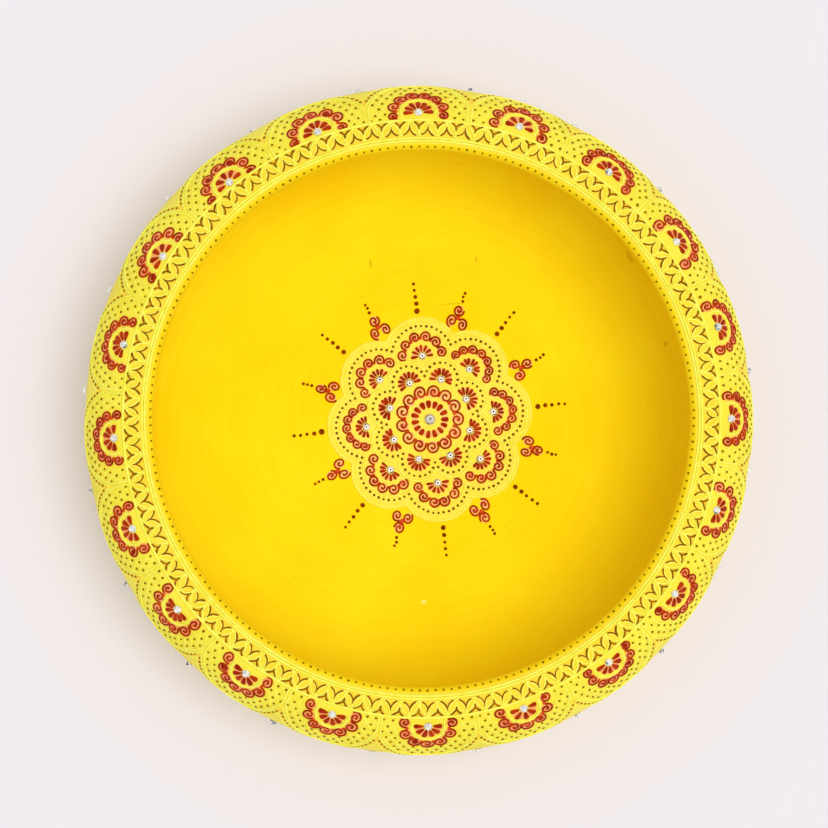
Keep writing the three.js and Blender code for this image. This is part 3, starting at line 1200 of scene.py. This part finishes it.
def makeNet():
    lines, dots = [], []
    reach = readFace("reach", net["middleRun"])
    firstRun = ring["run"] + net["firstRun"]
    for i in range(arch["count"]):
        place, slide = archPatch(i * pitch), wander(0.6)
        for row in range(net["rows"]):
            run = firstRun + row * net["down"] + slide * 0.3
            for column in range(-net["columns"] + row % 2, net["columns"] + 1, 2):
                offset = math.degrees((column * net["across"] + slide) / reach)
                if insideArch(offset, run, net["clearOfArch"]["dot"]):
                    seat = shoulderPatch(i * pitch - offset, run)
                    dots.append(dotSeat(seat, wander(0.2), wander(0.2), net["dot"]))
        t = np.arange(0, net["lineLength"], net["lineStep"])
        for way, start in ((way, start) for way in (-1, 1) for start in range(*net["lineStarts"])):
            x = start * net["across"] + slide + way * t * net["across"] / net["down"]
            offset, run = np.degrees(x / reach), firstRun + t
            inside = insideArch(offset, run, net["clearOfArch"]["line"])
            edges = np.flatnonzero(np.diff(np.concatenate([[0], inside.astype(int), [0]])))
            for first, last in zip(edges[::2], edges[1::2]):
                if last - first > 2:
                    bow = net["bow"] * np.sin(np.linspace(0, math.pi, last - first)) * way
                    part = slice(first, last)
                    lines.append(layLine(place, offset[part] + bow, run[part], net["line"], height=0.08))
    pipeLines("net_lines", lines, "lemonPaste", sides=1)
    stamp("net_dots", "dot", dots, "olivePaste")


makeMouth()
makeLeafBand()
makeArches()
makeFlowers()
makeNet()
print("shoulder made")


# The mandala on the floor

scallop = {"count": 8, "turn": 6.9, "tip": 49, "valley": 42.3, "bend": 42, "line": 0.55}
innerScallop = {**scallop, "turn": 29.5, "tip": 30.4, "valley": 23.8, "bend": 55, "line": 0.75}
mandala = {
    "secondLine": {**scallop, "tip": 47.2, "valley": 40, "bend": 38, "line": 0.5},
    "band": {**scallop, "tip": 43.3, "valley": 35, "bend": 38, "line": 0.55},
    "dotRow": {**scallop, "tip": 45.2, "valley": 37.4, "bend": 34},
    "innerDotRow": {**innerScallop, "tip": 28.1, "valley": 20.9, "bend": 60},
    "dot": 0.66,
    "dotPitch": 2.6,
    "centrePetals": {"count": 15, "inner": 5.4, "outer": 9.0, "longer": 1, "width": 2.6},
    "innerPetals": {"count": 9, "half": 100, "inner": 2.0, "outer": 5.7, "longer": 1, "width": 1.68},
    "outerPetals": {"count": 8, "half": 92, "inner": 2.0, "outer": 5.3, "longer": 1, "width": 1.64},
    "innerStones": 19.9,
    "outerStones": 30.7,
    "curls": {"longer": 1, "waver": 2, "cores": 0.4, "blots": 0},
    "rays": ((52.4, 1.3), (56.0, 1.0), (59.3, 0.85), (62.6, 0.8), (65.6, 0.75)),  # reach and radius
}
centreCurls = {
    **mandala["curls"],
    "count": 13,
    "reach": 13.2,
    "size": 6.5,
    "waver": 1.5,
    "coatInset": 0.45,
    "jointInset": 1.2,
    "joint": 1.0,
}
outerCurls = {
    **mandala["curls"],
    "count": 7,
    "half": 82,
    "reach": 9.2,
    "size": 5.3,
    "swell": {6: 1.04, 7: 0.92},
    "coatInset": 0.5,
    "jointInset": 0.9,
    "joint": 0.8,
}
triad = {
    "base": 48.3,
    "aside": 2.6,
    "outer": 54.3,
    "turns": (250, 130, 0),
    "size": 5.6,
    "tall": 1.12,
    "coatInsets": (0.8, 0.4),
    "dots": ((58.9, 0.8), (61.1, 0.75), (63.0, 0.7)),  # reach and radius
}


def petalPatch(shape, i, reach=0):
    return floorPatch(shape["turn"] + i * 360 / shape["count"], reach)


def scallopReach(shape, swing):
    return shape["valley"] + (shape["tip"] - shape["valley"]) * archRise(swing, math.radians(shape["bend"]))


def petalPath(shape):
    # one petal of a scalloped outline about the bearing of its tip: x clockwise, y away from the middle
    swing = np.radians(np.linspace(-shape["bend"], shape["bend"], 41))
    turn = math.pi / shape["count"] * np.sin(swing) / math.sin(math.radians(shape["bend"]))
    reach = scallopReach(shape, swing)
    return reach * np.sin(turn), reach * np.cos(turn)


def makeMandalaGround():
    # a thin lemon coat inside the scalloped outline, cut from a disc
    clearSelection()
    bpy.ops.mesh.primitive_circle_add(vertices=320, radius=scallop["tip"] * mm, fill_type="TRIFAN")
    ground = bpy.context.object
    ground.name = "mandala_ground"
    half = math.pi / scallop["count"]
    for vertex in ground.data.vertices:
        away = math.hypot(vertex.co.x, vertex.co.y)
        if away < mm:
            continue
        turn = math.atan2(vertex.co.y, vertex.co.x) - math.radians(scallop["turn"])
        turn = (turn + half) % (2 * half) - half
        swing = math.asin(min(max(turn / half * math.sin(math.radians(scallop["bend"])), -1), 1))
        reach = scallopReach(scallop, swing) * mm
        vertex.co.x *= reach / away
        vertex.co.y *= reach / away
    openMesh(ground)
    bpy.ops.transform.translate(value=[part * mm for part in (*mandalaMiddle, floorHeight + 0.05)])
    bpy.ops.mesh.extrude_region_move(TRANSFORM_OT_translate={"value": (0, 0, -0.3 * mm)})
    selectMesh()
    bpy.ops.mesh.normals_make_consistent(inside=False)
    closeMesh()
    finishPiece(ground, ["mandalaGround"], "painted_clay")


def makeMandalaLines():
    outline, second, bands, inner, dots = [], [], [], [], []
    for i in range(scallop["count"]):
        outer, middle = petalPatch(scallop, i), petalPatch(innerScallop, i)
        outline.append(layLine(outer, *petalPath(scallop), scallop["line"], height=0.15))
        for lines, shape in ((second, mandala["secondLine"]), (bands, mandala["band"])):
            radius = shape["line"] * (1 + wander(0.08))
            lines.append(layLine(outer, *petalPath(shape), radius, height=0.08))
        inner.append(layLine(middle, *petalPath(innerScallop), innerScallop["line"], height=0))
        for place, shape in ((outer, mandala["dotRow"]), (middle, mandala["innerDotRow"])):
            path = petalPath(shape)
            for x, y in list(zip(*evenSteps(*path, mandala["dotPitch"], path)))[:-1]:
                dots.append(dotSeat(place, x, y, mandala["dot"]))
    pipeLines("mandala_outline", outline, "lemonPaste", "mandala_piping")
    for title, lines in (("second_line", second), ("bands", bands), ("inner_line", inner)):
        pipeLines("mandala_" + title, lines, "lemonPaste")
    stamp("mandala_dots", "dot", dots, "maroonPaste")


def makeMandalaFlowers():
    work = defaultdict(list)
    middle = floorPatch(0, 0)
    petals = mandala["centrePetals"]
    angles = [i * 360 / petals["count"] for i in range(petals["count"])]
    addFan(work, middle, angles, (0, 359.5), petals, petals["width"])
    count = centreCurls["count"]
    angles = [i * 360 / count for i in range(count + 1)]
    drawRing(work, middle, centreCurls, angles, [centreCurls["size"]] * count)
    for i in range(scallop["count"]):
        petals = mandala["innerPetals"]
        ends = (-petals["half"], petals["half"])
        place = petalPatch(innerScallop, i, mandala["innerStones"])
        addFan(work, place, fan(petals["count"], *ends), ends, petals, petals["width"])
        petals = mandala["outerPetals"]
        ends = (-petals["half"], petals["half"])
        place = petalPatch(scallop, i, mandala["outerStones"])
        addFan(work, place, fan(petals["count"] - hand.choice((0, 1)), *ends), ends, petals, petals["width"])
        count = outerCurls["count"] - hand.choice((0, 1, 1))
        angles = fan(count, -outerCurls["half"], outerCurls["half"])
        drawRing(work, place, outerCurls, angles, [outerCurls["size"]] * count, outerCurls["swell"][count])
    for i in range(scallop["count"]):
        # three curls that meet, in the gap between two petals
        place, lean = petalPatch(innerScallop, i), wander(0.6)
        aside, base = triad["aside"], triad["base"]
        spots = ((-aside, base), (aside, base + lean), (lean, triad["outer"]))
        coat = [triad["size"] / 2 - inset for inset in triad["coatInsets"]]
        for spot, turn in zip(spots, triad["turns"]):
            turn += wander(25)
            addCurl(work, place, *spot, triad["size"], turn, coat, mandala["curls"]["cores"], triad["tall"])
        work["joints"].append((place, 0, base + 2.9, (1.1, 1.8, 0.5), wander(20), above["joint"]))
    layWork("mandala", work, "block", "mandala_petal_wash", "peachWash")


def makeRays():
    rows = (("mandala_rays", scallop, mandala["rays"]), ("triad_dots", innerScallop, triad["dots"]))
    seats = {name: [] for name, shape, dots in rows}
    for i in range(scallop["count"]):
        for name, shape, dots in rows:
            for reach, radius in dots:
                seats[name].append(dotSeat(petalPatch(shape, i), wander(0.3), reach, radius))
    for name, dots in seats.items():
        stamp(name, "dot", dots, "russetPaste")


makeMandalaGround()
makeMandalaLines()
makeMandalaFlowers()
makeRays()
print("mandala made")


# The stones

stones = {
    "small": {"diameter": 3.6, "height": 1.7, "girdle": 0.4, "table": 2.0},
    "large": {"diameter": 5.3, "height": 2.3, "girdle": 0.5, "table": 3.1},
    "bed": 0.2,
    "dim": 0.72,  # how bright the centre stone's painted facet light is against the rest: a darker, shaded copy of the same tones
    "facets": 12,
    "orderFrom": 10,  # degrees, so that the order round a stone begins between two facets
    "eyeInset": 0.5,  # from the edge of the table in to its eye
    "eyeDepth": 0.2,
    "shade": (0.45, 0.4),  # how far a facet has to face the shade side to be dark, and by what chance it is
    # painted reflections in the foil for the table, the two kinds of eye and the light facets, and painted
    # shade for the dark facets
    "table": ((0.84, 0.81, 0.75), (0.90, 0.89, 0.85), (0.74, 0.74, 0.72)),
    "darkEye": ((0.01, 0.02, 0.03), (0.02, 0.03, 0.05), (0.10, 0.12, 0.15)),
    "paleEye": ((0.90, 0.90, 0.86), (0.80, 0.82, 0.80), (0.56, 0.59, 0.61)),
    "bright": ((0.94, 0.93, 0.90), (0.84, 0.83, 0.79), (0.58, 0.60, 0.60)),
    "dark": ((0.08, 0.10, 0.15), (0.24, 0.26, 0.31)),
    "sideRun": 45.5,
}


def pickFacets(stone, lowest, highest):
    # only the facets that face up between these two, in edit mode
    bpy.ops.mesh.select_all(action="DESELECT")
    closeMesh()
    for facet in stone.data.polygons:
        facet.select = lowest < facet.normal.z < highest
    bpy.ops.object.mode_set(mode="EDIT")


def cutStone(size):
    # girdle, a crown of three-sided facets and a flat table with its eye sunk in it
    clearSelection()
    radius = size["diameter"] / 2 * mm
    bpy.ops.mesh.primitive_circle_add(vertices=stones["facets"], radius=radius, fill_type="NGON")
    stone = bpy.context.object
    openMesh(stone)
    for rise in (size["girdle"], size["height"] - size["girdle"]):
        bpy.ops.mesh.extrude_region_move(TRANSFORM_OT_translate={"value": (0, 0, rise * mm)})
    share = size["table"] / size["diameter"]
    middle = (0, 0, size["height"] * mm)
    bpy.ops.transform.resize(value=(share, share, 1), center_override=middle)
    bpy.ops.transform.rotate(value=math.pi / stones["facets"], orient_axis="Z", center_override=middle)
    selectMesh()
    bpy.ops.mesh.normals_make_consistent(inside=False)
    pickFacets(stone, 0.1, 0.98)
    bpy.ops.mesh.quads_convert_to_tris()
    pickFacets(stone, 0.98, 2)
    bpy.ops.mesh.inset(thickness=stones["eyeInset"] * mm)
    bpy.ops.mesh.poke(offset=-stones["eyeDepth"] * mm)
    closeMesh()  # the facets of the eye stay selected, and setStone knows them by it
    return stone


def facetOrder(mesh):
    # by height and then round the stone, because the order that the tools leave changes from run to run
    def place(facet):
        x, y, z = facet.center / mm
        return round(z, 2), (math.degrees(math.atan2(y, x)) + stones["orderFrom"]) % 360
    return [facet.index for facet in sorted(mesh.polygons, key=place)]


def setStone(master, name, node, place, eyes, brightness=1):
    # found by its seat, a place a step round the bowl and one a step out of the surface
    seat, ahead, above = (Vector(found) for found in place([0, 1, 0], [0, 0, 0], np.array([0, 0, 1])))
    up = (above - seat).normalized()
    across = up.cross(ahead - seat).normalized()
    turned = Matrix((across.cross(up), across, up)).transposed().to_4x4()
    spin = Matrix.Rotation(hand.uniform(0, math.tau), 4, "Z")
    mesh = master.data.copy()
    mesh.transform(Matrix.Translation((seat + up * stones["bed"]) * mm) @ turned @ spin)
    mesh.name = name
    tones = mesh.color_attributes.new("paintedFacetLight", "FLOAT_COLOR", "CORNER")
    # each facet gets painted light: dark facets on a shade side picked at random are painted shade, the rest
    # painted reflections
    shadeSide = hand.uniform(0, math.tau)
    eye = hand.choice(stones[eyes])
    turn, chance = stones["shade"]
    for i in facetOrder(master.data):
        facet = mesh.polygons[i]
        local = turned.inverted() @ facet.normal
        facing = math.cos(math.atan2(local.y, local.x) - shadeSide)
        if facet.select or local.z < -0.5:  # in the eye, or on the underside, which isn't seen
            tone = eye
        elif local.z > 0.98:
            tone = hand.choice(stones["table"])
        elif facing > turn and hand.random() < chance:
            tone = hand.choice(stones["dark"])
        else:
            tone = hand.choice(stones["bright"])
        for corner in facet.loop_indices:
            tones.data[corner].color = (*(part * brightness for part in tone), 1)
    finishPiece(linkPiece(name, mesh), ["foiledGlass"], "glass_stone", node)


def setStones():
    small, large = cutStone(stones["small"]), cutStone(stones["large"])
    setStone(large, "centre_gem", "centre_stone", floorPatch(0, 0), "paleEye", stones["dim"])
    rows = (
        ("inner", 8, "darkEye", lambda i: petalPatch(innerScallop, i, mandala["innerStones"])),
        ("outer", 8, "darkEye", lambda i: petalPatch(scallop, i, mandala["outerStones"])),
        ("flower", 20, "paleEye", lambda i: shoulderPatch(i * pitch, flower["run"])),
        ("side", 20, "paleEye", lambda i: shoulderPatch((i + 0.5) * pitch, stones["sideRun"])),
    )
    for title, count, eyes, patch in rows:
        for i in range(count):
            setStone(small, f"{title}_gem_{i + 1:02d}", f"{title}_stone_{i + 1:02d}", patch(i), eyes)
    for master in (small, large):
        bpy.data.meshes.remove(master.data)


setStones()
print("stones set")
